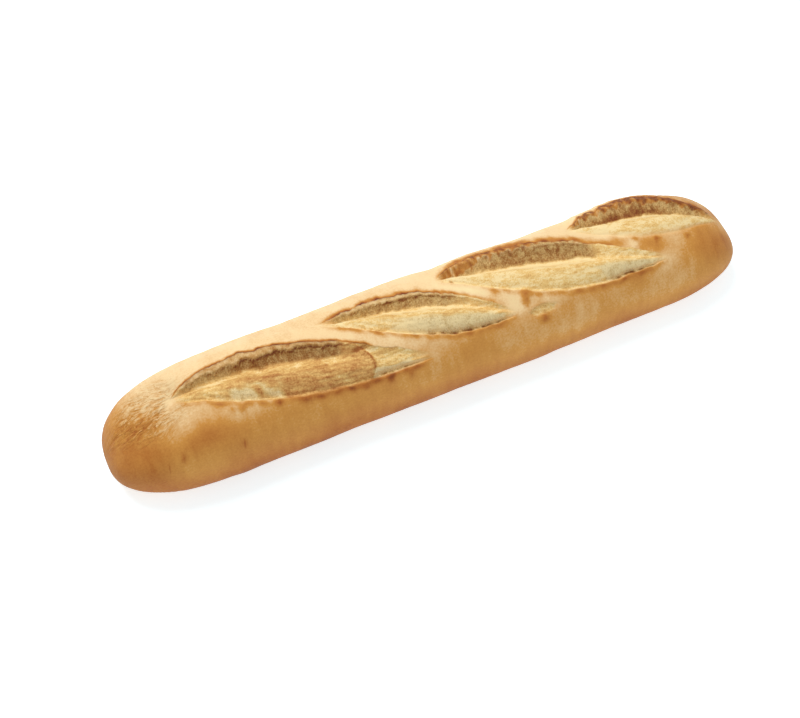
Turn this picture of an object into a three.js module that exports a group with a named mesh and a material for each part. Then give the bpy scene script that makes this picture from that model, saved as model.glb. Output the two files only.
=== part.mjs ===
// Baguette: one baked loaf, 400 mm long, with four overlapping slanted cuts along its crown.
// Each cut has opened in the oven: its near edge is a low browned lip, the pale bloom swells between
// the edges, and the far edge has lifted into an ear above a sloping torn face.
// Millimetres. +X runs from the blunt end with the first cut to the end with the last one, +Y to the
// side of the ears, +Z up. The origin is under the middle of the loaf, on the surface it lies on.
import * as THREE from "three";

// The whole loaf
const LENGTH = 400;
const WIDTH = 73.5;
const HEIGHT = 53;
const BELLY_HEIGHT = 22.3; // where the loaf is widest
const TAPER = 0.021; // how much fuller than the middle the first end is, and how much slimmer the last
const CROWN_POWER = 2.15; // superellipse exponents of the section: nearly round above the belly,
const BASE_POWER = 3.2; // and squarer below it, where the dough has settled on the tray
const SETTLED = 0.7; // depth of dough pressed flat by the tray

// The two ends: length of the rounding, its exponents seen from above and from the side, and the
// height of the very tip, which is low because the underside curls up less than the crown comes down
const FIRST_END = { length: 72, planPower: 2.6, sidePower: 1.95, tipHeight: 15 };
const LAST_END = { length: 77, planPower: 2.9, sidePower: 1.95, tipHeight: 13.5 };

// Uneven swelling of the dough: centre (x, arc), reach along x and around, and height
const SWELLS = [
  { x: -15, arc: 42, along: 42, around: 26, height: 1.5 },
  { x: -64, arc: -44, along: 34, around: 22, height: -1.4 },
  { x: 32, arc: 40, along: 24, around: 26, height: -0.9 },
  { x: 122, arc: -48, along: 36, around: 24, height: -1.2 },
  { x: -150, arc: 34, along: 26, around: 24, height: -0.8 },
];

// The cuts. Places are [x, arc], with arc measured round the skin from the crown, + to the ear side.
// rimBow and lipBow: how far the far and near edges stand off the straight line of the knife,
// most at the shares rimPeak and lipPeak of the cut's length. ear, lip and mound are heights above
// the uncut skin; trough and crevice are depths below it; moundAt and troughAt are shares of the way
// from lip to rim. parallel: the arcs that the rows of skin run out to before and after the cut.
const CUTS = [
  {
    start: [-157, -1],
    end: [-10, -31.5],
    rimBow: 19.6,
    rimPeak: 0.42,
    lipBow: 11,
    lipPeak: 0.47,
    ear: 3.6,
    lip: 0.9,
    mound: 1.2,
    moundAt: 0.36,
    trough: 3.9,
    troughAt: 0.72,
    crevice: 2.2,
    parallel: [8, -56],
  },
  {
    start: [-69, 11.5],
    end: [44, -25.5],
    rimBow: 17.8,
    rimPeak: 0.56,
    lipBow: 12,
    lipPeak: 0.52,
    ear: 2.8,
    lip: 0.9,
    mound: 2.2,
    moundAt: 0.42,
    trough: 3.8,
    troughAt: 0.78,
    crevice: 2.4,
    parallel: [32, -48],
  },
  {
    start: [8, 12.5],
    end: [144, -25.5],
    rimBow: 17.7,
    rimPeak: 0.47,
    lipBow: 16,
    lipPeak: 0.45,
    ear: 4.2,
    lip: 0.9,
    mound: 2.6,
    moundAt: 0.36,
    trough: 4,
    troughAt: 0.66,
    crevice: 2,
    parallel: [41, -40],
  },
  {
    start: [95, 15],
    end: [193, -5],
    rimBow: 16.4,
    rimPeak: 0.46,
    lipBow: 16,
    lipPeak: 0.45,
    ear: 3.8,
    lip: 0.3,
    mound: 2.4,
    moundAt: 0.36,
    trough: 4.2,
    troughAt: 0.66,
    crevice: 0.5,
    parallel: [50, -16],
  },
];
const TIP_OPENING = 1.1; // half the width of a cut's rows where it closes
const FULLY_OPEN = 14; // a cut this much wider than at its tips has its full depth
const CREVICE_AT = 0.07; // share of the way from lip to rim
const WALL_POWER = 1.25; // how much steeper the torn face gets towards its rim
const EAR_RUN = 20; // the skin behind a rim slopes down over this distance,
const LIP_RUN = 9; // and the skin in front of a lip over this one
const LEAN = 0.27; // the rim hangs over its torn face by this share of the ear's height,
const LEAN_FROM = 0.8; // and the face starts to lean at this share of the way from lip to rim
const LEAN_RUN = 6; // distance behind the rim over which the lean is gone

// Rows of skin from the underside round the near side, the crown and the ear side, and back
const SIDE_ROWS = 12;
const CUT_ROWS = 8;
const EDGE_CROWDING = 0.55; // how far the rows of a cut crowd towards its lip and rim, from 0 to 1
const BRIDGE_ROWS = 2;
const ROWS = 2 * SIDE_ROWS + CUTS.length * CUT_ROWS + (CUTS.length - 1) * BRIDGE_ROWS;
const STATIONS = 96;

const clamp01 = (v) => Math.min(Math.max(v, 0), 1);
const smooth = (v) => clamp01(v) ** 2 * (3 - 2 * clamp01(v));
const mix = (a, b, share) => a + (b - a) * share;

// Quarter of a superellipse: 0 at the very end of the loaf, 1 where the rounding is over
function dome(distance, length, power) {
  const left = 1 - clamp01(distance / length);
  return (1 - left ** power) ** (1 / power);
}

// Section through the middle of the loaf, from the underside round the near side to the crown and on
class LoafSection extends THREE.Curve {
  getPoint(t, target = new THREE.Vector3()) {
    const angle = (2 * t - 1) * Math.PI;
    const side = Math.sin(angle);
    const up = Math.cos(angle);
    const power = up > 0 ? CROWN_POWER : BASE_POWER;
    const reach = up > 0 ? HEIGHT - BELLY_HEIGHT : BELLY_HEIGHT + SETTLED;
    const y = (Math.sign(side) * Math.abs(side) ** (2 / power) * WIDTH) / 2;
    return target.set(0, y, Math.sign(up) * reach * Math.abs(up) ** (2 / power));
  }
}
const section = new LoafSection();
section.arcLengthDivisions = 1440;
const GIRTH = section.getLength();

// The shorter way round the skin between two arcs
const between = (a, b) => a - b - GIRTH * Math.round((a - b) / GIRTH);

function swelling(x, arc) {
  let height = 0;
  for (const s of SWELLS) {
    const along = (x - s.x) / s.along;
    const around = between(arc, s.arc) / s.around;
    height += s.height * Math.exp(-(along ** 2) - around ** 2);
  }
  return height;
}

// A point of the uncut loaf
function body(x, arc) {
  const toFirst = x + LENGTH / 2;
  const toLast = LENGTH / 2 - x;
  const plan =
    dome(toFirst, FIRST_END.length, FIRST_END.planPower) * dome(toLast, LAST_END.length, LAST_END.planPower);
  const rise =
    dome(toFirst, FIRST_END.length, FIRST_END.sidePower) * dome(toLast, LAST_END.length, LAST_END.sidePower);
  const fullness = (1 - (TAPER * 2 * x) / LENGTH) * (1 + (2 * swelling(x, arc)) / WIDTH);
  const at = section.getPointAt(clamp01(arc / GIRTH + 0.5));
  const middle = mix(x < 0 ? FIRST_END.tipHeight : LAST_END.tipHeight, BELLY_HEIGHT, rise);
  return new THREE.Vector3(x, plan * fullness * at.y, middle + rise * fullness * at.z);
}

function bodyNormal(x, arc) {
  const step = 0.1;
  const along = body(x + step, arc).sub(body(x - step, arc));
  const around = body(x, arc + step).sub(body(x, arc - step));
  return along.cross(around).normalize();
}

// Bump from 0 to 1 and back over a share u of a cut, highest at peak
const bow = (u, peak) => Math.sin(Math.PI * clamp01(u) ** (Math.log(0.5) / Math.log(peak)));

// Near and far edge of a cut at x, and how far open it is there, from 0 to 1
function edges(cut, x) {
  const [x0, arc0] = cut.start;
  const [x1, arc1] = cut.end;
  const u = (x - x0) / (x1 - x0);
  const slope = (arc1 - arc0) / (x1 - x0);
  let knife = arc0 + slope * (x - x0);
  if (u < 0) {
    const room = cut.parallel[0] - arc0;
    knife = arc0 + room * (1 - Math.exp(-(slope * (x - x0)) / room));
  } else if (u > 1) {
    const room = cut.parallel[1] - arc1;
    knife = arc1 + room * (1 - Math.exp(-(slope * (x - x1)) / room));
  }
  const lip = knife - TIP_OPENING - cut.lipBow * bow(u, cut.lipPeak);
  const rim = knife + TIP_OPENING + cut.rimBow * bow(u, cut.rimPeak);
  const open = u > 0 && u < 1 ? smooth((rim - lip - 2 * TIP_OPENING) / FULLY_OPEN) : 0;
  return { lip, rim, open };
}

// Height of the opened cut at a share of the way from its lip to its rim
function cutFloor(cut, share) {
  if (share < CREVICE_AT) return mix(cut.lip, -cut.crevice, smooth(share / CREVICE_AT));
  if (share < cut.moundAt) {
    const climb = (share - CREVICE_AT) / (cut.moundAt - CREVICE_AT);
    return mix(-cut.crevice, cut.mound, Math.sin((climb * Math.PI) / 2));
  }
  if (share < cut.troughAt) {
    return mix(cut.mound, -cut.trough, smooth((share - cut.moundAt) / (cut.troughAt - cut.moundAt)));
  }
  return mix(-cut.trough, cut.ear, ((share - cut.troughAt) / (1 - cut.troughAt)) ** WALL_POWER);
}

// How far a cut lifts the skin at x and arc, and how far it makes it lean towards the cut's lip
function relief(cut, x, arc) {
  const { lip, rim, open } = edges(cut, x);
  const inFront = lip - arc;
  const behind = arc - rim;
  if (open === 0 || inFront > LIP_RUN || behind > EAR_RUN) return { height: 0, lean: 0 };
  if (inFront > 0) return { height: open * cut.lip * (1 - smooth(inFront / LIP_RUN)), lean: 0 };
  const overhang = open * LEAN * cut.ear;
  if (behind > 0) {
    return {
      height: open * cut.ear * (1 - smooth(behind / EAR_RUN)),
      lean: overhang * (1 - smooth(behind / LEAN_RUN)),
    };
  }
  const share = clamp01(-inFront / (rim - lip));
  return {
    height: open * cutFloor(cut, share),
    lean: overhang * smooth((share - LEAN_FROM) / (1 - LEAN_FROM)),
  };
}

// The arc of each row at x, from the underside round the near side and the crown and back to it.
// The rows follow the lips and rims of the cuts, so those edges stay sharp.
function rowsAt(x) {
  const rows = [];
  let from = -GIRTH / 2;
  CUTS.forEach((cut, k) => {
    const { lip, rim } = edges(cut, x);
    const plain = k === 0 ? SIDE_ROWS : BRIDGE_ROWS;
    for (let r = 0; r < plain; r++) rows.push(mix(from, lip, r / plain));
    for (let r = 0; r < CUT_ROWS; r++) {
      const even = r / CUT_ROWS;
      rows.push(mix(lip, rim, even - (EDGE_CROWDING * Math.sin(2 * Math.PI * even)) / (2 * Math.PI)));
    }
    from = rim;
  });
  for (let r = 0; r <= SIDE_ROWS; r++) rows.push(mix(from, GIRTH / 2, r / SIDE_ROWS));
  return rows;
}

// A point of the baked loaf
function skin(x, arc) {
  const point = body(x, arc);
  let height = 0;
  let lean = 0;
  for (const cut of CUTS) {
    const part = relief(cut, x, arc);
    height += part.height;
    lean += part.lean;
  }
  if (height !== 0 || lean !== 0) {
    const out = bodyNormal(x, arc);
    const toLip = new THREE.Vector3(1, 0, 0).cross(out).normalize();
    point.addScaledVector(out, height).addScaledVector(toLip, lean);
  }
  point.z = Math.max(point.z, 0);
  return point;
}

// The crown line of the loaf, whose even spacing sets the stations along it
class CrownLine extends THREE.Curve {
  getPoint(t, target = new THREE.Vector3()) {
    return target.copy(body(mix(-LENGTH / 2, LENGTH / 2, t), 0));
  }
}
const crownLine = new CrownLine();
crownLine.arcLengthDivisions = 2000;
const stations = crownLine.getSpacedPoints(STATIONS).map((p) => p.x);

// The skin starts as a sphere whose poles become the two ends, so it is closed from the start
const loaf = new THREE.SphereGeometry(1, ROWS, STATIONS);
const position = loaf.getAttribute("position");
stations.forEach((x, station) => {
  rowsAt(x).forEach((arc, row) => {
    const p = station === 0 || station === STATIONS ? body(x, 0) : skin(x, arc);
    position.setXYZ(station * (ROWS + 1) + row, p.x, p.y, p.z);
  });
});
loaf.computeBoundingBox();
const { min, max } = loaf.boundingBox;
loaf.translate(-(min.x + max.x) / 2, -(min.y + max.y) / 2, -min.z);
loaf.computeVertexNormals();

const crust = new THREE.MeshStandardMaterial({ color: 0xd29a56, roughness: 0.7, metalness: 0 });
const baguette = new THREE.Mesh(loaf, crust);
baguette.name = "baguette";

const group = new THREE.Group();
group.add(baguette);
export default group;
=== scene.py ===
"""A baked baguette lying on a pale table, finished over its CAD solid. Blender 4.5."""

import math

import bpy
import numpy as np
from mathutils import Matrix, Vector, noise


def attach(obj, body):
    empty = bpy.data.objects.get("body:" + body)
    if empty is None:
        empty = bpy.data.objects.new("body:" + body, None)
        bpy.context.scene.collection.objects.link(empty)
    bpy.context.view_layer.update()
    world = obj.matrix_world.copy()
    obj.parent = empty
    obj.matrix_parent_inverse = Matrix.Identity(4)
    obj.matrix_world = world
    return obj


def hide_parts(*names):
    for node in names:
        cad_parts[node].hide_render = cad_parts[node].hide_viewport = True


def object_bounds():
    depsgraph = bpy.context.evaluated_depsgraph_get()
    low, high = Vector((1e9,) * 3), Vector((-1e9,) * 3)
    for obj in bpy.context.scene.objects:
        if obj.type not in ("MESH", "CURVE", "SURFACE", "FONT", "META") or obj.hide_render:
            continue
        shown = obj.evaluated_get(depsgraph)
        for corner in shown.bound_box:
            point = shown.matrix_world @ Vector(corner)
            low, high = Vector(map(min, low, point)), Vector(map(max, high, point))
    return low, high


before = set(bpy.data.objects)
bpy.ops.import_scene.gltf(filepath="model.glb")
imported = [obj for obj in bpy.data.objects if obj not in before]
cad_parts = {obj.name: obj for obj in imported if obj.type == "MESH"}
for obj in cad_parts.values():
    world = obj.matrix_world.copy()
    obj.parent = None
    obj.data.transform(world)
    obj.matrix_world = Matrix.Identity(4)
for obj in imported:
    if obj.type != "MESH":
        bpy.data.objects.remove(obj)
cad_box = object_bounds()
bpy.ops.object.select_all(action="DESELECT")


# The uncut loaf
# A stick of proved dough, rolled to round ends and baked on a flat tray. Its section is nearly round
# above the belly and squarer below it, where the dough has settled. All sizes are in millimetres.
MM = 0.001
LENGTH = 400
WIDTH = 73.5
HEIGHT = 53
BELLY_HEIGHT = 22.3
TAPER = 0.021
CROWN_POWER = 2.15
BASE_POWER = 3.2
SETTLED = 0.7
FIRST_END = {"length": 72, "plan": 2.6, "side": 1.95, "tip": 15}
LAST_END = {"length": 77, "plan": 2.9, "side": 1.95, "tip": 13.5}
SWELLS = [  # centre x and arc, reach along and around, height
    (-15, 42, 42, 26, 1.5),
    (-64, -44, 34, 22, -1.4),
    (32, 40, 24, 26, -0.9),
    (122, -48, 36, 24, -1.2),
    (-150, 34, 26, 24, -0.8),
]


def smooth(v):
    v = np.clip(v, 0, 1)
    return v * v * (3 - 2 * v)


def mix(a, b, share):
    return a + (b - a) * share


def section_at(turn):
    """Point of the middle section, from the underside round the near side and the crown and back."""
    angle = (2 * turn - 1) * np.pi
    up = np.cos(angle)
    power = np.where(up > 0, CROWN_POWER, BASE_POWER)
    reach = np.where(up > 0, HEIGHT - BELLY_HEIGHT, BELLY_HEIGHT + SETTLED)
    y = np.sign(np.sin(angle)) * np.abs(np.sin(angle)) ** (2 / power) * WIDTH / 2
    return y, np.sign(up) * reach * np.abs(up) ** (2 / power)


turns = np.linspace(0, 1, 1441)
section_y, section_z = section_at(turns)
run_round = np.concatenate([[0], np.cumsum(np.hypot(np.diff(section_y), np.diff(section_z)))])
GIRTH = run_round[-1]


def dome(distance, length, power):
    """Share of the full size, so far from an end that rounds off over a length."""
    left = 1 - np.clip(distance / length, 0, 1)
    return np.clip(1 - left**power, 0, 1) ** (1 / power)


def body(x, arc):
    """Points of the uncut loaf; arc runs round the skin from the crown, + to the ear side."""
    to_first = x + LENGTH / 2
    to_last = LENGTH / 2 - x
    plan = dome(to_first, FIRST_END["length"], FIRST_END["plan"])
    plan = plan * dome(to_last, LAST_END["length"], LAST_END["plan"])
    rise = dome(to_first, FIRST_END["length"], FIRST_END["side"])
    rise = rise * dome(to_last, LAST_END["length"], LAST_END["side"])
    swelling = 0
    for swell_x, swell_arc, along, around, height in SWELLS:
        off = arc - swell_arc - GIRTH * np.round((arc - swell_arc) / GIRTH)
        swelling = swelling + height * np.exp(-(((x - swell_x) / along) ** 2) - (off / around) ** 2)
    fullness = (1 - TAPER * 2 * x / LENGTH) * (1 + 2 * swelling / WIDTH)
    y, z = section_at(np.interp(arc + GIRTH / 2, run_round, turns))
    middle = mix(np.where(x < 0, FIRST_END["tip"], LAST_END["tip"]), BELLY_HEIGHT, rise)
    return np.stack([x + 0 * arc, plan * fullness * y, middle + rise * fullness * z], -1)


def body_normal(x, arc):
    """Unit normal of the uncut loaf, outward."""
    step = 0.1
    along = body(x + step, arc) - body(x - step, arc)
    around = body(x, arc + step) - body(x, arc - step)
    out = np.cross(along, around)
    return out / np.maximum(np.linalg.norm(out, axis=-1, keepdims=True), 1e-9)


# The four cuts
# A blade slits the proved dough at a slant. In the oven the near edge stays down as a browned lip,
# the soft inside swells up between the edges, and the far edge lifts into an ear over a torn face.

# The rows of each table hold heights and depths at shares along the cut. The single values are strengths of
# its marks:
# ragged rim, ledge on the torn face, browning of bloom, face, rim and lip, painted shade at the foot of the
# face, and ribs.
CUTS = [
    {
        "start": (-157, -1), "end": (-10, -31.5),
        "rim_bow": 19.6, "rim_peak": 0.42, "lip_bow": 11, "lip_peak": 0.47, "trough_at": 0.72,
        "along": (0, 0.10, 0.24, 0.36, 0.50, 0.61, 0.67, 0.74, 0.79, 0.90, 1),
        "ear": (1.0, 3.0, 3.5, 3.6, 3.6, 3.5, 2.9, 1.8, 0.6, 0.4, 0.1),
        "trough": (0.5, 2.8, 3.7, 3.9, 4.0, 3.6, 1.3, 0.6, 0.9, 1.0, 0.2),
        "mound": (0.2, 0.8, 1.1, 1.3, 1.4, 1.4, 1.3, 1.0, -0.6, -0.8, -0.2),
        "mound_at": (0.36, 0.36, 0.38, 0.40, 0.40, 0.38, 0.36, 0.36, 0.36, 0.36, 0.36),
        "crevice": (0.2, 0.6, 1.8, 1.5, 0.7, 0.7, 0.8, 1.2, 2.6, 2.2, 0.4),
        "charred": (0, 0, 0, 0, 0, 0, 0, 0, 0, 0, 0),
        "rag": 0.7, "ledge": 1.0, "toast": 0.57, "wall": 0.50,
        "foot": 0.10, "scorch": 0.70, "scorch_run": 1.1, "lip_scorch": 0.28, "ribs": 1.0,
    },
    {
        "start": (-69, 11.5), "end": (44, -25.5),
        "rim_bow": 15.8, "rim_peak": 0.54, "lip_bow": 11, "lip_peak": 0.57, "trough_at": 0.74,
        "along": (0, 0.12, 0.30, 0.50, 0.65, 0.80, 0.93, 1),
        "ear": (0.6, 2.0, 2.5, 2.6, 2.2, 1.2, 0.7, 0.2),
        "trough": (0.4, 2.6, 3.6, 3.8, 2.4, 1.2, 0.8, 0.2),
        "mound": (0.3, 1.2, 2.0, 2.4, 2.4, 1.6, 0.6, 0.2),
        "mound_at": (0.40, 0.40, 0.42, 0.44, 0.48, 0.50, 0.50, 0.50),
        "crevice": (0.1, 0.2, 0.9, 2.0, 2.5, 2.5, 1.8, 0.3),
        "charred": (0.3, 0.2, 0, 0, 0, 0, 0, 0),
        "rag": 1.1, "ledge": 0.8, "toast": 0.30, "wall": 0.38,
        "foot": 0.08, "scorch": 0.72, "scorch_run": 2.4, "lip_scorch": 0.28, "ribs": 0.8,
    },
    {
        "start": (8, 12.5), "end": (144, -25.5),
        "rim_bow": 16.8, "rim_peak": 0.41, "lip_bow": 16, "lip_peak": 0.48, "trough_at": 0.66,
        "along": (0, 0.10, 0.25, 0.50, 0.62, 0.71, 0.80, 0.92, 1),
        "ear": (2.2, 4.0, 4.2, 4.0, 3.2, 1.4, 0.7, 0.4, 0.1),
        "trough": (1.0, 3.4, 4.0, 4.0, 3.2, 1.1, 0.6, 0.5, 0.1),
        "mound": (0.6, 2.0, 2.6, 2.7, 2.5, 2.0, 1.4, 0.6, 0.1),
        "mound_at": (0.36, 0.36, 0.36, 0.38, 0.40, 0.46, 0.50, 0.50, 0.50),
        "crevice": (0, 0.1, 0.2, 0.3, 1.0, 1.8, 2.4, 1.6, 0.2),
        "charred": (1.0, 0.9, 0.45, 0.14, 0.16, 0.12, 0, 0, 0),
        "rag": 0.8, "ledge": 0.3, "toast": 0.24, "wall": 0.44,
        "foot": 0.12, "scorch": 0.58, "scorch_run": 3.6, "lip_scorch": 0.26, "ribs": 0.5,
    },
    {
        "start": (95, 15), "end": (193, -5),
        "rim_bow": 16.4, "rim_peak": 0.46, "lip_bow": 16, "lip_peak": 0.45, "trough_at": 0.66,
        "along": (0, 0.10, 0.25, 0.50, 0.65, 0.80, 0.92, 1),
        "ear": (1.2, 3.2, 3.6, 3.8, 3.4, 2.4, 1.3, 0.3),
        "trough": (0.6, 3.4, 4.2, 4.2, 3.8, 2.6, 1.4, 0.2),
        "mound": (0.5, 1.8, 2.4, 2.6, 2.4, 1.8, 1.0, 0.2),
        "mound_at": (0.36, 0.36, 0.36, 0.36, 0.36, 0.36, 0.36, 0.36),
        "crevice": (0, 0, 0, 0.1, 0.1, 0.1, 0.1, 0),
        "charred": (0.7, 0.55, 0.50, 0.45, 0.35, 0.4, 0.6, 0.7),
        "rag": 1.5, "ledge": 0.3, "toast": 0.20, "wall": 0.38,
        "foot": 0.50, "scorch": 0.80, "scorch_run": 1.4, "lip_scorch": 0.0, "ribs": 0.35,
    },
]
TIP_OPENING = 1.1  # half the slit's width at a tip
FULLY_OPEN = 9  # width past that of the slit at which the relief has its full height
CREVICE_AT = 0.07
EAR_RUN = 20
LIP_RUN = 9
LEAN = 0.08
LEAN_FROM = 0.8
LEAN_RUN = 6
WAVE = 1.3  # height of the slow waves of lips and rims
JAGS = 0.9  # height of the fine tears of the rims


def grain(a, b, seed, octaves=1):
    """Noise from -1 to 1 at places counted in grains along and across."""
    pairs = zip(np.ravel(a).tolist(), np.ravel(b).tolist())
    if octaves == 1:
        values = [noise.noise((p, q, seed)) for p, q in pairs]
    else:
        values = [noise.fractal((p, q, seed), 0.7, 2.0, octaves) for p, q in pairs]
    return np.reshape(values, np.shape(a))


def dapple(grain_size, seed):
    """Noise from -1 to 1 on the skin of the uncut loaf, with grains of so many millimetres."""
    places = skin / grain_size + [0, 0, seed * 7.3]
    return np.array([noise.noise(place) for place in places.tolist()])


def bow(u, peak):
    """Arch from 0 over 1 to 0 along a cut, highest at the peak."""
    return np.sin(np.pi * np.clip(u, 0, 1) ** (math.log(0.5) / math.log(peak)))


def edges(cut, x):
    """Arcs of a cut's lip and rim at x, how far open it is there, and the share of its length."""
    (x0, arc0), (x1, arc1) = cut["start"], cut["end"]
    slope = (arc1 - arc0) / (x1 - x0)
    knife = arc0 + slope * (np.clip(x, x0, x1) - x0)
    u = (x - x0) / (x1 - x0)
    lip = knife - TIP_OPENING - cut["lip_bow"] * bow(u, cut["lip_peak"])
    rim = knife + TIP_OPENING + cut["rim_bow"] * bow(u, cut["rim_peak"])
    open_share = np.where((u > 0) & (u < 1), smooth((rim - lip - 2 * TIP_OPENING) / FULLY_OPEN), 0)
    rim = rim + open_share * WAVE * grain(x / 9, x * 0, cut["rim_bow"])
    rim = rim + open_share * JAGS * cut["rag"] * grain(x / 2.6, x * 0, cut["rim_bow"] + 9)
    lip = lip + open_share * WAVE * grain(x / 8, x * 0, cut["lip_bow"] + 5)
    return lip, rim, open_share, u


# The rows of skin
# The mesh is a sphere whose poles become the two ends, with stations evenly spaced along the crown.
# Its rows run along the loaf. In a cut they follow its lip and rim, so those edges stay sharp, and
# past its tips they let go and spread out evenly, like springs from edge to edge.
SIDE_ROWS = 29
CUT_ROWS = 38
BRIDGE_ROWS = 9
ROWS = 2 * SIDE_ROWS + len(CUTS) * CUT_ROWS + (len(CUTS) - 1) * BRIDGE_ROWS
STATIONS = 420
EDGE_CROWDING = 0.55
LET_GO = 3  # distance past a tip at which the rows start to spread

crown_x = np.linspace(-LENGTH / 2, LENGTH / 2, 4001)
crown = body(crown_x, np.zeros_like(crown_x))
crown_run = np.concatenate([[0], np.cumsum(np.linalg.norm(np.diff(crown, axis=0), axis=1))])
station_x = np.interp(np.linspace(0, crown_run[-1], STATIONS + 1), crown_run, crown_x)

held_at = []  # arcs of the lips and rims
holds = []  # how firmly a row is held there
for cut in CUTS:
    past_tip = np.maximum(cut["start"][0] - station_x, station_x - cut["end"][0])
    hold = np.where(past_tip < 0, 1e6, 100 / (1 + (past_tip / LET_GO) ** 2) ** 2)
    lip, rim, _, _ = edges(cut, station_x)
    held_at += [lip, rim]
    holds += [hold, hold]
spans = [SIDE_ROWS] + [CUT_ROWS, BRIDGE_ROWS] * (len(CUTS) - 1) + [CUT_ROWS, SIDE_ROWS]
stiff = 1 / np.array(spans)
edge_rows = np.empty((STATIONS + 1, len(held_at) + 2))
edge_rows[:, 0] = -GIRTH / 2
edge_rows[:, -1] = GIRTH / 2
for s in range(STATIONS + 1):
    pull = np.array([hold[s] for hold in holds])
    springs = np.diag(pull + stiff[:-1] + stiff[1:]) - np.diag(stiff[1:-1], 1) - np.diag(stiff[1:-1], -1)
    force = pull * [place[s] for place in held_at]
    force[0] -= stiff[0] * GIRTH / 2
    force[-1] += stiff[-1] * GIRTH / 2
    edge_rows[s, 1:-1] = np.linalg.solve(springs, force)
row_arcs = []
for k, count in enumerate(spans):
    for r in range(count):
        even = r / count
        crowded = even - EDGE_CROWDING * math.sin(2 * math.pi * even) / (2 * math.pi)
        row_arcs.append(mix(edge_rows[:, k], edge_rows[:, k + 1], crowded))
arc_table = np.stack(row_arcs, 1)

bpy.ops.mesh.primitive_uv_sphere_add(segments=ROWS, ring_count=STATIONS, radius=1)
loaf = bpy.context.object
loaf.name = "baguette_loaf"
sphere = np.empty(len(loaf.data.vertices) * 3)
loaf.data.vertices.foreach_get("co", sphere)
sphere = sphere.reshape(-1, 3)
station = np.rint(np.arccos(np.clip(sphere[:, 2], -1, 1)) / np.pi * STATIONS).astype(int)
row = np.rint(np.arctan2(sphere[:, 1], sphere[:, 0]) / (2 * np.pi) * ROWS).astype(int) % ROWS
x = station_x[station]
arc = arc_table[station, row]
skin = body(x, arc)
out = body_normal(x, arc)
side = np.cross(np.array([1.0, 0, 0]), out)
side = side / np.maximum(np.linalg.norm(side, axis=1, keepdims=True), 1e-9)


# The relief of the cuts
# Lip, crevice, swollen bloom, trough, torn wall and ragged ear, row by row, with the marks that the
# stretching dough leaves in them: ribs along the bloom, strands down the torn faces, and their holes, which
# are only painted shade.
LEDGE_AT = 0.74  # place of the ledge up the torn face, as a share
LEDGE_DROP = 0.36  # how much lower it lies in the first part of a cut
FINE_GRAIN = 0.12
RIB_HEIGHT = 1.5
STRAND_HEIGHT = 0.30
LUMP_HEIGHT = 0.35
LIP_CURL = 0.6
PLAIN_LIP_CURL = 0.3
CRACK_TONE = 0.42  # browning in the crack of the ledge
FRESH_TONE = 0.26  # paleness of the bloom's far side
PIT_SHADE = 0.26  # painted shade in the torn face's holes
RIB_TONE = 0.30  # browning of the bloom's ribs
STRAND_TONE = 0.20  # browning of the torn face's strands
LEDGE_PALE_AND_LIT = 0.22  # paleness of the ledge, partly its own and partly painted light on its upturned face
FLAKE_TONE = 0.35  # browning of the ledge's flakes
FLAP_TONE = 0.20  # browning of crust folded over the rim
LEDGE_CRUST = 0.42  # browning of the crust left on the ledge
height = np.zeros(len(x))
lean = np.zeros(len(x))
crumb = np.zeros(len(x))  # 1 where the inside of the dough shows
torn = np.zeros(len(x))  # 1 where it is torn, 0 where it has swollen smoothly
bake_shade_and_sheen = np.zeros(len(x))  # browning of the crust, to which painted shade low on the sides and a painted sheen on the crown are added
toast = np.full(len(x), 0.30)  # browning of what swelled up between the edges, with painted shade in holes, crevices and troughs and painted light on ledges

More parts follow.
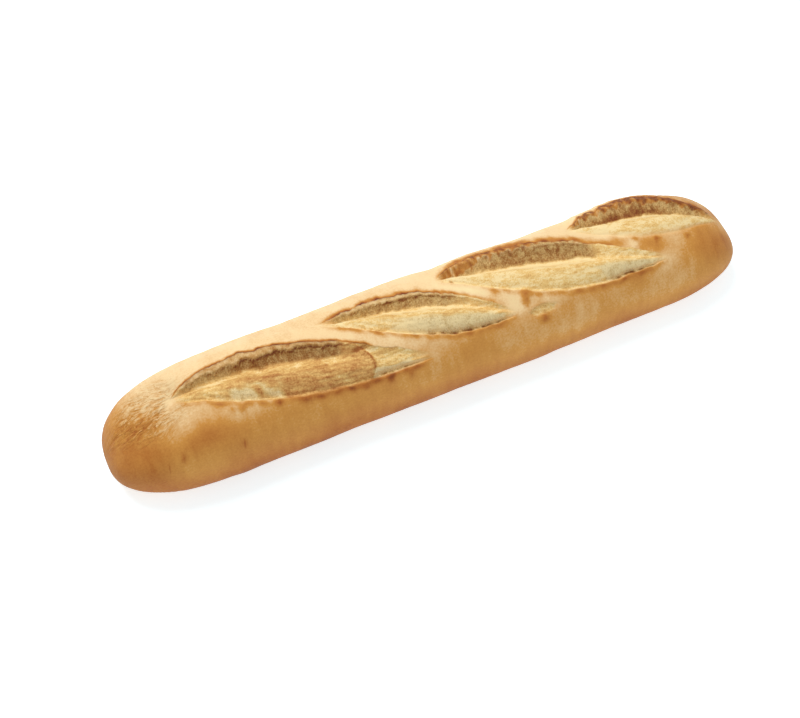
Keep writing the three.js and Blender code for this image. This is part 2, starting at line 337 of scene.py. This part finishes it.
for k, cut in enumerate(CUTS):
    lip, rim, open_share, u = edges(cut, x)
    at = {name: np.interp(u, cut["along"], cut[name]) for name in
          ("ear", "trough", "mound", "mound_at", "crevice", "charred")}
    live = open_share > 0
    in_front = lip - arc
    behind = arc - rim
    inside = live & (in_front <= 0) & (behind <= 0)
    share = np.clip(-in_front / np.maximum(rim - lip, 1e-6), 0, 1)
    across = -in_front
    rag = grain(x / 6, x * 0, 11 + k) + 0.7 * grain(x / 2.2, x * 0, 31 + k)
    ear = at["ear"] - cut["rag"] * np.maximum(rag, -0.3)
    lip_height = LIP_CURL if cut["lip_scorch"] else PLAIN_LIP_CURL
    foot_at = cut["trough_at"] + 0.035 * grain(x / 11, x * 0, 171 + k) + 0.02 * grain(x / 3, x * 0, 175 + k)

    # marks of the stretched dough
    fine = FINE_GRAIN * grain(x / 2.2, across / 2.2, 41 + k)
    ribs = 0.35 - RIB_HEIGHT * np.abs(grain(x / 20 + across / 25, across / 2.8, 51 + k))
    ribs = cut["ribs"] * (ribs + 0.3 * grain(x / 5, across / 1.8, 55 + k))
    strands = STRAND_HEIGHT * grain(x / 2.2, across / 6, 61 + k)
    strands = strands + LUMP_HEIGHT * grain(x / 4, across / 4, 65 + k)

    # height across the cut: crevice, bloom, trough, torn face with its ledge, and rim
    climb = (share - CREVICE_AT) / (at["mound_at"] - CREVICE_AT)
    near_face = mix(-at["crevice"], at["mound"], np.sin(np.clip(climb, 0, 1) * np.pi / 2))
    slide = (share - at["mound_at"]) / (foot_at - at["mound_at"])
    far_face = mix(at["mound"], -at["trough"], smooth(slide))
    wall = np.clip((share - foot_at) / (1 - foot_at), 0, 1)
    ledge_at = LEDGE_AT - LEDGE_DROP * cut["ledge"] * smooth((0.62 - u) / 0.4)
    ledge_at = ledge_at + 0.20 * grain(x / 6, x * 0, 71 + k) + 0.10 * grain(x / 2, x * 0, 75 + k)
    below_ledge = (wall / ledge_at) ** 1.3 * (1 - 0.30 * cut["ledge"])
    above_ledge = mix(1 - 0.10 * cut["ledge"], 1, (wall - ledge_at) / (1 - ledge_at))
    on_ledge = smooth((wall - ledge_at) / 0.07)
    wall_face = mix(-at["trough"], ear, mix(below_ledge, above_ledge, on_ledge))
    floor = np.where(share < at["mound_at"], near_face, far_face)
    floor = np.where(share > foot_at, wall_face, floor)
    drop = smooth(share / CREVICE_AT)
    floor = np.where(share < CREVICE_AT, mix(lip_height, -at["crevice"], drop), floor)

    # where the dough is torn: up the far face, and on the near face where the crevice is deep
    has_wall = smooth((at["trough"] - 0.9) / 1.5)
    on_wall = has_wall * smooth((wall - 0.02) / 0.12) * (1 - smooth((wall - 0.93) / 0.07))
    torn_near = smooth((at["crevice"] - 1.0 + 0.9 * grain(x / 6, across / 6, 191 + k)) / 1.0)
    torn_near = torn_near * (1 - smooth((share - at["mound_at"] + 0.10 + 0.1 * ribs) / 0.10))
    is_torn = np.clip(np.maximum(on_wall, torn_near), 0, 1)
    floor = floor + is_torn * strands * (1 - 0.5 * on_ledge)
    floor = floor + (1 - is_torn) * (ribs + fine) * smooth(share / 0.15) * (1 - 0.6 * smooth(slide))
    height += np.where(inside, open_share * floor, 0)
    lean += np.where(inside, open_share * LEAN * ear * smooth((share - LEAN_FROM) / (1 - LEAN_FROM)), 0)

    # skin pushed up behind the ear and in front of the lip
    back = live & (behind > 0) & (behind < EAR_RUN)
    ear_skin = mix(ear, at["ear"], smooth(behind / 3))
    height += np.where(back, open_share * ear_skin * (1 - smooth(behind / EAR_RUN)), 0)
    lean += np.where(back, open_share * LEAN * ear * (1 - smooth(behind / LEAN_RUN)), 0)
    front = live & (in_front > 0) & (in_front < LIP_RUN)
    height += np.where(front, open_share * lip_height * (1 - smooth(in_front / LIP_RUN)), 0)

    # where the crumb shows, and how far bloom and torn face have browned, with painted shade and painted
    # light on them
    soft_lip = 0.04 if cut["lip_scorch"] else 0.20
    edge_fade = smooth(share / soft_lip) * (1 - smooth((wall - 0.95) / 0.05))
    edge_fade = edge_fade * (1 - 0.4 * cut["ledge"] * on_ledge * has_wall)
    crumb = np.where(inside, np.maximum(crumb, open_share * edge_fade), crumb)
    torn = np.where(inside, np.maximum(torn, open_share * is_torn), torn)
    crack = CRACK_TONE * np.exp(-(((wall - ledge_at) / 0.05) ** 2)) * cut["ledge"] * has_wall
    fresh = FRESH_TONE * has_wall * np.exp(-(((slide - 0.75) / 0.3) ** 2))
    # the torn face's holes, drawn only as painted shade
    pit_shade = smooth((grain(x / 3, across / 3, 195 + k) - 0.15) / 0.2) * smooth((wall - 0.3) / 0.3)
    wall_tone = cut["wall"] + STRAND_TONE * strands + PIT_SHADE * pit_shade * (1 - on_ledge)
    # darker toward the foot of the torn face: painted shade in the trough under the ear
    wall_tone = wall_tone + cut["foot"] * (1 - smooth(wall / 0.7)) * smooth((0.8 - u) / 0.3)
    bloom_tone = cut["toast"] - fresh + RIB_TONE * ribs
    toasted_with_light_and_shade = mix(bloom_tone, wall_tone, on_wall)
    # paler ledge: partly the crumb's own paleness, partly painted light where the ledge turns up to the
    # lamp
    toasted_with_light_and_shade = toasted_with_light_and_shade - LEDGE_PALE_AND_LIT * on_ledge * on_wall * (1 - smooth(at["charred"] / 0.2))
    toasted_with_light_and_shade = (toasted_with_light_and_shade + crack) * (1 - 0.38 * smooth((0.34 - u) / 0.2))
    toasted_with_light_and_shade = mix(toasted_with_light_and_shade, 0.06 + 0.3 * strands, torn_near)
    flakes = grain(x / 3, across / 2, 201 + k) * on_ledge * has_wall
    toasted_with_light_and_shade = toasted_with_light_and_shade + FLAKE_TONE * flakes * cut["ledge"]

    # crust that folds over the rim and hides the torn face, charred in places
    char_from = 1 - at["charred"] + 0.25 * grain(x / 3, across / 3, 181 + k)
    flap = inside * has_wall * smooth((wall - char_from) / 0.12) * smooth(at["charred"] / 0.1)
    crumb = crumb * (1 - 0.75 * flap)
    toasted_with_light_and_shade = toasted_with_light_and_shade + FLAP_TONE * flap
    bake_shade_and_sheen += flap * (0.40 + 0.8 * grain(x / 3, across / 3, 211 + k))

    # painted shade along the depth of the crevice, and the browned edges
    crevice_shade = smooth((at["crevice"] - 1.5) / 0.8) * np.exp(-(((share - 0.05) / 0.035) ** 2))
    toasted_with_light_and_shade = toasted_with_light_and_shade + crevice_shade * (0.6 + 0.8 * grain(x / 3, x * 0, 185 + k))
    toast = np.where(inside, toasted_with_light_and_shade, toast)
    near_rim = np.exp(-((np.where(behind > 0, behind / cut["scorch_run"], behind / 0.6)) ** 2))
    uneven = 0.8 + 0.8 * grain(x / 5, behind / 5, 81 + k)
    scorch = cut["scorch"] * near_rim * uneven * smooth((at["ear"] - 0.4) / 1.2)
    near_lip = np.exp(-((in_front - 0.8) / 2.0) ** 2)
    lip_scorch = cut["lip_scorch"] * near_lip * (0.8 + 1.0 * grain(x / 5, in_front / 5, 91 + k))
    crust_edge = LEDGE_CRUST * on_ledge * has_wall * cut["ledge"] * inside
    bake_shade_and_sheen += np.where(live, np.sqrt(open_share) * (scorch + lip_scorch + crust_edge), 0)


# Marks of the crust
# Small blisters browned along the near lips and specks on the near side, a side tear where the dough
# burst between the second and the third cut, the fold of dough that ends the first cut's bloom with a
# small hole before it, and wrinkles at the first end, where the skin is gathered toward the cut's tip.
BLISTERS = [  # x, arc, radius, height, browning
    (-128, -20, 2.0, 0.5, 0.5), (-123, -21, 1.8, 0.5, 0.5), (-103, -26, 1.8, 0.5, 0.5),
    (-88, -28.5, 2.6, 0.7, 0.6), (-54, -35, 1.8, 0.4, 0.5), (-39, -36, 2.0, 0.5, 0.6),
    (-27, -37, 2.0, 0.5, 0.5), (-55, 3.5, 1.6, 0.3, 0.35), (-50, 0, 1.6, 0.3, 0.35),
    (-41, -5, 1.5, 0.3, 0.3), (-37, -7.5, 1.8, 0.3, 0.35), (-32, -9.5, 1.6, 0.3, 0.35),
    (-20, -16, 2.4, 0.4, 0.35), (-11, -22, 2.2, 0.4, 0.3), (35, -9.5, 2.6, 0.5, 0.6),
    (52, -17.0, 3.8, 0.9, 1.1), (50, -21, 2.4, 0.4, 0.8), (58, -34, 2.8, 0.4, 0.9),
    (128, -8.2, 1.6, 0.3, 0.7), (141, -12, 2.0, 0.4, 0.8), (161, -15.3, 1.8, 0.3, 0.8),
    (-161, -36.2, 1.3, 0.1, 1.6), (-128, -40.4, 0.9, 0.1, 1.1), (-170, -39, 0.8, 0.1, 0.8),
]
BLISTER_TONE = 0.36
SIDE_TEAR = {"x": 59, "arc": -28.5, "long": 9, "wide": 3.0, "depth": 1.1}
FOLD = {"x": -45, "arc": -22, "curl": 0.05, "drop": 1.0, "run": 34}
HOLE = {"x": -50, "arc": -12.5, "long": 4.0, "wide": 1.3, "depth": 1.6}
WRINKLES = {"x": -172, "arc": 2, "long": 22, "wide": 19, "to_x": -157, "to_arc": -2, "height": 0.6}
LOW_SWELL = 0.45
SMALL_SWELL = 0.16

for number, (blister_x, blister_arc, radius, rise, brown) in enumerate(BLISTERS):
    rough = 1 + 0.7 * grain(x / 1.6, arc / 1.6, 161 + number)
    off = np.exp(-(((x - blister_x) ** 2 + (arc - blister_arc) ** 2) * rough / radius**2))
    height += rise * off
    bake_shade_and_sheen += BLISTER_TONE * brown * off

fold_x = FOLD["x"] - FOLD["curl"] * (arc - FOLD["arc"]) ** 2
beyond_fold = x - fold_x
# the part of the first cut round its fold
in_first_cut = smooth(crumb / 0.3) * (arc < -8) * (x > -80) * (x < -10)
height -= FOLD["drop"] * in_first_cut * smooth(beyond_fold / 1.4) * smooth(1 - beyond_fold / FOLD["run"])
height += 0.5 * in_first_cut * np.exp(-(((beyond_fold + 1) / 1.5) ** 2))
toast += 0.26 * in_first_cut * np.exp(-((beyond_fold / 0.6) ** 2))
toast -= 0.25 * in_first_cut * smooth(beyond_fold / 2)
hole = ((x - HOLE["x"]) / HOLE["long"]) ** 2 + ((arc - HOLE["arc"]) / HOLE["wide"]) ** 2
hole = np.exp(-hole)
height -= HOLE["depth"] * hole
# painted shade inside the hole
toast += 0.5 * hole

tear = ((x - SIDE_TEAR["x"]) / SIDE_TEAR["long"]) ** 2
tear = tear + ((arc - SIDE_TEAR["arc"]) / SIDE_TEAR["wide"]) ** 2
tear = smooth((1.1 + 0.5 * grain(x / 2.5, arc / 2.5, 141) - tear) / 0.4)
height -= SIDE_TEAR["depth"] * tear
crumb = np.maximum(crumb, 0.9 * tear)
toast = mix(toast, 0.34, tear)

gather = ((x - WRINKLES["x"]) / WRINKLES["long"]) ** 2 + ((arc - WRINKLES["arc"]) / WRINKLES["wide"]) ** 2
to_tip = np.hypot(x - WRINKLES["to_x"], arc - WRINKLES["to_arc"])
gather = smooth(1.4 * np.exp(-gather)) * smooth((to_tip - 1) / 4)
spread = 12 + 0.5 * np.clip(WRINKLES["to_x"] - x, 0, 40)
wrinkle = (arc - WRINKLES["to_arc"]) * 13 / spread + 0.8 * grain(x / 9, arc / 9, 105)
height += WRINKLES["height"] * gather * (1 - 3 * np.abs(grain(wrinkle * 0.6, x / 12, 101)))
fan = np.stack([x / 4.2, wrinkle, 0 * x], 1)  # places on the skin, counted in wrinkles

height += (LOW_SWELL * dapple(24, 1) + SMALL_SWELL * dapple(8, 2)) * (1 - crumb)
unevenness = dapple(36, 3)
mottling = dapple(9, 4)

# the relief is set on the skin, which is then drawn in to the box of the solid
skin = skin + out * height[:, None] + side * lean[:, None]
pole = (station == 0) | (station == STATIONS)
skin[pole] = body(x[pole], 0 * x[pole])
skin[:, 2] = np.maximum(skin[:, 2], 0)
low, high = (np.array(corner) / MM for corner in cad_box)
own_low, own_high = skin.min(0), skin.max(0)
fit = np.minimum((high - low) / (own_high - own_low), 1)
skin = (skin - (own_low + own_high) / 2) * fit + (low + high) / 2
skin[:, 2] -= skin[:, 2].min()
loaf.data.vertices.foreach_set("co", (skin * MM).ravel())
loaf.data.update()

bpy.ops.object.mode_set(mode="EDIT")
bpy.ops.mesh.select_all(action="SELECT")
bpy.ops.mesh.normals_make_consistent(inside=False)
bpy.ops.object.mode_set(mode="OBJECT")
bpy.ops.object.shade_smooth()


# The baking
# The crust is palest where it stretched last, beside the tips of the cuts, and darkest on thin edges. It is
# darker low on the sides, partly browning and partly painted shade, and paler where it faces up and back,
# partly less baked and partly a painted sheen. These shares are stored on the mesh for the crust's material
# to read.
TONES = [  # x, arc, reach, browning
    (-158, -1, 5, -0.08), (-12, -32, 6, -0.08), (46, -23, 4, -0.08), (140, -27, 7, -0.12),
    (20, 1, 17, -0.18), (122, -3, 3, -0.12), (126, -11, 3, -0.12),
    (115, -7, 8, 0.28), (135, -15, 9, 0.32), (180, -26, 18, 0.26), (54, -24, 6, 0.12), (33, -15, 9, 0.10),
    (187, 8, 10, 0.16), (-148, -27, 10, 0.20), (-137, -17, 8, 0.08), (-175, -6, 16, 0.10),
    (120, -32, 8, 0.12),
]
EVEN_BAKE = 0.54
LOW_SIDES_BROWNED_AND_SHADED = {"high": 36, "browning": 0.34}
FIRST_END_TONE = 0.11
CROWN_PALE_AND_SHEEN = -0.28
LAST_HALF_TONE = -0.08
bake_shade_and_sheen += EVEN_BAKE + 0.09 * unevenness + 0.04 * mottling
# darker low on the sides: partly browning, partly painted shade on the lower sides, which face away from
# the lamps
low_sides = smooth((LOW_SIDES_BROWNED_AND_SHADED["high"] - skin[:, 2]) / LOW_SIDES_BROWNED_AND_SHADED["high"])
bake_shade_and_sheen += LOW_SIDES_BROWNED_AND_SHADED["browning"] * low_sides * (1 - 0.5 * smooth((-150 - x) / 30))
bake_shade_and_sheen += FIRST_END_TONE * smooth((-155 - x) / 30) * smooth(skin[:, 2] / 24)
# paler where the skin faces up and back toward the big lamp: partly a less baked crown, partly a painted
# sheen of that lamp
facing_up = 0.85 * out[:, 2] + 0.3 * out[:, 1] - 0.3 * np.abs(out[:, 0])
bake_shade_and_sheen += CROWN_PALE_AND_SHEEN * smooth((facing_up - 0.35) / 0.4) * smooth((170 - x) / 60)
bake_shade_and_sheen += LAST_HALF_TONE * smooth((x + 30) / 80)
for tone_x, tone_arc, reach, browning in TONES:
    off = ((x - tone_x) ** 2 + ((arc - tone_arc) * 1.4) ** 2) / reach**2
    bake_shade_and_sheen += browning * np.exp(-off) * (1 + 0.5 * mottling)
stored = {"bake_shade_and_sheen": bake_shade_and_sheen, "crumb": crumb, "torn": torn, "toast": toast, "wrinkled": gather}
for name, values in stored.items():
    layer = loaf.data.attributes.new(name, "FLOAT", "POINT")
    layer.data.foreach_set("value", np.clip(values, 0, 1).astype(np.float32))
layer = loaf.data.attributes.new("fan", "FLOAT_VECTOR", "POINT")
layer.data.foreach_set("vector", fan.astype(np.float32).ravel())

crust = bpy.data.materials.new("baked_crust")
crust.use_nodes = True
nodes = crust.node_tree.nodes
links = crust.node_tree.links
shader = nodes["Principled BSDF"]


def colour(red, green, blue):
    """A colour as seen on screen, 0 to 255, as the shader takes it."""
    parts = [v / 255 for v in (red, green, blue)]
    return tuple(v / 12.92 if v <= 0.04045 else ((v + 0.055) / 1.055) ** 2.4 for v in parts) + (1,)


def node(kind, **settings):
    """A new node of the crust's material."""
    new = nodes.new("ShaderNode" + kind)
    for name, value in settings.items():
        setattr(new, name, value)
    return new


def attribute(name):
    return node("Attribute", attribute_name=name).outputs["Fac"]


def sum_of(first, second, scale):
    """first + second * scale"""
    new = node("Math", operation="MULTIPLY_ADD")
    links.new(second, new.inputs[0])
    new.inputs[1].default_value = scale
    links.new(first, new.inputs[2])
    return new.outputs[0]


def product(first, second):
    new = node("Math", operation="MULTIPLY")
    links.new(first, new.inputs[0])
    links.new(second, new.inputs[1])
    return new.outputs[0]


def noise_on(place, per_unit, detail, waver=0):
    """Noise about 0, with so many grains in a unit of the coordinates."""
    new = node("TexNoise")
    new.inputs["Scale"].default_value = per_unit
    new.inputs["Detail"].default_value = detail
    new.inputs["Distortion"].default_value = waver
    links.new(place, new.inputs["Vector"])
    centred = node("Math", operation="SUBTRACT")
    links.new(new.outputs["Fac"], centred.inputs[0])
    centred.inputs[1].default_value = 0.5
    return centred.outputs[0]


def speckle(per_metre, detail, longer=(1, 1, 1), turned=0, waver=0):
    """Noise on the loaf's own coordinates, with grains that are longer some way and turned."""
    place = node("Mapping", vector_type="TEXTURE")
    place.inputs["Scale"].default_value = longer
    place.inputs["Rotation"].default_value = (0, 0, turned)
    links.new(coordinates.outputs["Object"], place.inputs["Vector"])
    return noise_on(place.outputs[0], per_metre, detail, waver)


def ramp(value, stops):
    """Colour by value, between stops of (value, colour)."""
    new = node("ValToRGB")
    links.new(value, new.inputs["Fac"])
    elements = new.color_ramp.elements
    while len(elements) < len(stops):
        elements.new(0.5)
    for element, (position, tone) in zip(elements, stops):
        element.position = position
        element.color = tone
    return new.outputs["Color"]


def blend(share, first, second):
    """The second colour in its share over the first."""
    new = node("Mix", data_type="RGBA")
    links.new(share, new.inputs[0])
    links.new(first, new.inputs[6])
    links.new(second, new.inputs[7])
    return new.outputs[2]


coordinates = node("TexCoord")
ALONG_CUTS = math.radians(-12)
fanned = node("Attribute", attribute_name="fan").outputs["Vector"]
crinkles = product(noise_on(fanned, 1.0, 3, 1.2), attribute("wrinkled"))
streaks = speckle(260, 3, longer=(1, 5, 5))
dimples = speckle(900, 3)
# the baking share holds painted shade low on the sides and a painted sheen on the crown as well as browning
browning = sum_of(attribute("bake_shade_and_sheen"), dimples, 0.22)
browning = sum_of(browning, speckle(160, 3), 0.06)
browning = sum_of(browning, streaks, 0.15)
browning = sum_of(browning, crinkles, -0.9)
crust_colour = ramp(browning, [
    (0.0, colour(247, 226, 172)),
    (0.25, colour(241, 207, 154)),
    (0.50, colour(208, 146, 68)),
    (0.75, colour(177, 105, 41)),
    (1.0, colour(118, 52, 20)),
])
ribbing = speckle(420, 4, longer=(5, 1, 1), turned=ALONG_CUTS)
bloom_toast_and_shade = sum_of(attribute("toast"), speckle(700, 5, longer=(2, 1, 1), turned=ALONG_CUTS), 0.7)
bloom_toast_and_shade = sum_of(bloom_toast_and_shade, ribbing, 0.6)
bloom_toast_and_shade = sum_of(bloom_toast_and_shade, speckle(130, 3), 0.5)
bloom_toast_and_shade = sum_of(bloom_toast_and_shade, speckle(1150, 2), 0.6)
bloom_colour = ramp(bloom_toast_and_shade, [
    (0.10, colour(250, 224, 166)),
    (0.32, colour(236, 196, 122)),
    (0.55, colour(212, 161, 92)),
    (0.85, colour(174, 108, 54)),
])
strand = speckle(600, 5, longer=(1, 2.4, 2.4), waver=1.2)
pores = sum_of(attribute("toast"), strand, 0.6)
pores = sum_of(pores, speckle(1300, 4), 0.7)
pores = sum_of(pores, speckle(260, 3), 0.5)
torn_colour = ramp(pores, [
    (0.0, colour(242, 218, 164)),
    (0.33, colour(208, 174, 114)),
    (0.60, colour(164, 116, 62)),
    (0.90, colour(124, 64, 28)),
])
inside_colour = blend(attribute("torn"), bloom_colour, torn_colour)
links.new(blend(attribute("crumb"), crust_colour, inside_colour), shader.inputs["Base Color"])
shader.inputs["Roughness"].default_value = 0.6
shader.inputs["Specular IOR Level"].default_value = 0.2

surface = product(speckle(1500, 4), attribute("crumb"))
surface = sum_of(surface, product(strand, attribute("torn")), 1.4)
surface = sum_of(surface, product(ribbing, attribute("crumb")), 1.5)
surface = sum_of(surface, dimples, 0.5)
surface = sum_of(surface, streaks, 0.5)
surface = sum_of(surface, crinkles, 4)
bump = node("Bump")
bump.inputs["Strength"].default_value = 0.5
bump.inputs["Distance"].default_value = 0.8 * MM
links.new(surface, bump.inputs["Height"])
links.new(bump.outputs[0], shader.inputs["Normal"])
loaf.data.materials.clear()
loaf.data.materials.append(crust)
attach(loaf, "root")
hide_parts("baguette")


# The table and the light
# A plain pale table top, with a wide soft lamp above the far side and a weaker one in front of it.
bpy.ops.mesh.primitive_plane_add(size=12, location=(0, 0, 0))
table = bpy.context.object
table.name = "table"
paint = bpy.data.materials.new("pale_table")
paint.use_nodes = True
finish = paint.node_tree.nodes["Principled BSDF"].inputs
finish["Base Color"].default_value = (0.62, 0.8, 0.88, 1)
finish["Roughness"].default_value = 0.9
finish["Emission Color"].default_value = (1, 1, 1, 1)
finish["Emission Strength"].default_value = 0.63
table.data.materials.append(paint)

LAMPS = [  # place in metres, width, power in watts
    ((-0.25, 0.75, 1.5), 1.1, 20.5),
    ((0.6, -1.3, 1.2), 1.2, 5.0),
]
for number, (place, width, power) in enumerate(LAMPS):
    bpy.ops.object.light_add(type="AREA", location=place)
    lamp = bpy.context.object
    lamp.name = f"lamp_{number + 1}"
    lamp.data.shape = "DISK"
    lamp.data.size = width
    lamp.data.energy = power
    lamp.rotation_euler = Vector(place).to_track_quat("Z", "Y").to_euler()
world = bpy.data.worlds.new("studio")
bpy.context.scene.world = world
world.use_nodes = True
world.node_tree.nodes["Background"].inputs["Color"].default_value = (1, 1, 1, 1)
world.node_tree.nodes["Background"].inputs["Strength"].default_value = 0.40
bpy.context.scene.view_settings.view_transform = "Standard"


# The camera
# It stands at the first end's near side and looks down on the crown, as in the photograph.
AZIMUTH = math.radians(-24.78)
ELEVATION = math.radians(55)
DISTANCE = 0.88
IMAGE = (800, 718)
FOCUS_PIXELS = 1468.3
CENTRE_PIXEL = (431.4, 354.0)
SENSOR = 36
bpy.ops.object.camera_add()
camera = bpy.context.object
toward = Vector((
    math.sin(AZIMUTH) * math.cos(ELEVATION),
    -math.cos(AZIMUTH) * math.cos(ELEVATION),
    math.sin(ELEVATION),
))
camera.location = toward * DISTANCE
camera.rotation_euler = toward.to_track_quat("Z", "Y").to_euler()
camera.data.sensor_width = SENSOR
camera.data.lens = FOCUS_PIXELS / IMAGE[0] * SENSOR
camera.data.shift_x = (IMAGE[0] / 2 - CENTRE_PIXEL[0]) / IMAGE[0]
camera.data.shift_y = (CENTRE_PIXEL[1] - IMAGE[1] / 2) / IMAGE[0]
bpy.context.scene.camera = camera
